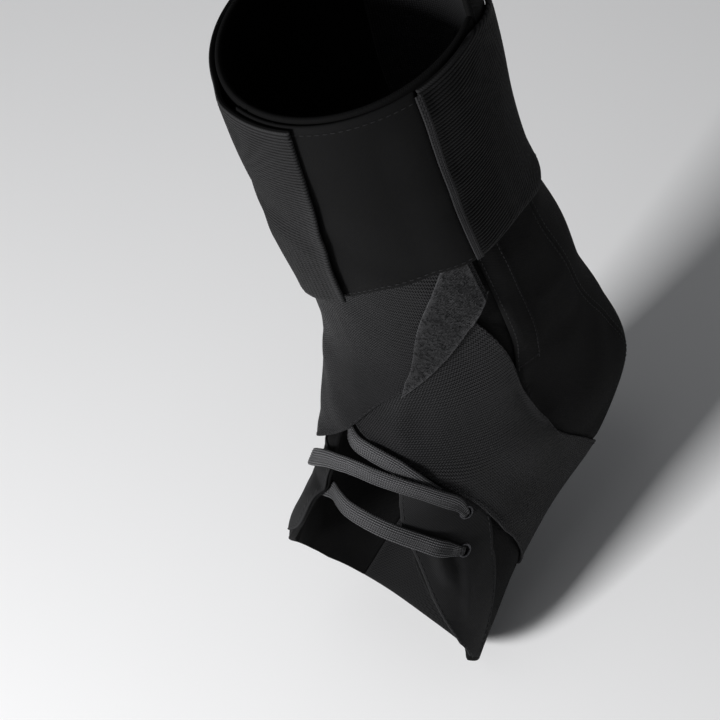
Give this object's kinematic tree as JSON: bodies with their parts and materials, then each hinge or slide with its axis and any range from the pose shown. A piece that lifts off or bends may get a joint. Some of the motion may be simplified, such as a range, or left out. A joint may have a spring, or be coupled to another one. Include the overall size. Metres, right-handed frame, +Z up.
{
  "type": "lace-up ankle brace",
  "caption": "Lace-up fabric ankle brace with crossed stirrup straps, an elastic wrap cuff round the shin and flat laces over an open instep, shaped as worn.",
  "frame": {"origin": "centre of the ankle joint that the brace is worn on, where it sits on the leg", "axes": "+Z up along the leg, -Y towards the toes, +X the side that the cuff and the upper strap fasten on"},
  "size_m": [0.0941, 0.1344, 0.2829],
  "materials": {
    "boot_near_side": "matte woven nylon twill",
    "boot_far_side": "matte woven nylon twill",
    "boot_back": "matte woven nylon twill",
    "sole": "matte woven nylon twill",
    "lace_facing_near": "matte reinforced facing",
    "lace_facing_far": "matte reinforced facing",
    "stay_pocket_near": "matte stitched pocket",
    "stay_pocket_far": "matte stitched pocket",
    "strap_lower": "woven ballistic nylon",
    "strap_upper": "woven ballistic nylon",
    "strap_pile": "brushed loop pile",
    "cuff_panel": "smooth brushed face",
    "cuff_near_elastic": "ribbed elastic",
    "cuff_seam": "raised stitched seam tape",
    "cuff_far_elastic": "ribbed elastic",
    "back_lining": "soft brushed padding",
    "lace_upper": "flat ribbed braid",
    "lace_middle": "flat ribbed braid",
    "lace_lower": "flat ribbed braid"
  },
  "bodies": {
    "root": {"boot_near_side": "boot_near_side", "boot_far_side": "boot_far_side", "boot_back": "boot_back", "sole": "sole", "lace_facing_near": "lace_facing_near", "lace_facing_far": "lace_facing_far", "stay_pocket_near": "stay_pocket_near", "stay_pocket_far": "stay_pocket_far", "strap_lower": "strap_lower", "strap_upper": "strap_upper", "strap_pile": "strap_pile", "cuff_panel": "cuff_panel", "cuff_near_elastic": "cuff_near_elastic", "cuff_seam": "cuff_seam", "cuff_far_elastic": "cuff_far_elastic", "back_lining": "back_lining", "lace_upper": "lace_upper", "lace_middle": "lace_middle", "lace_lower": "lace_lower"}
  },
  "joints": []
}
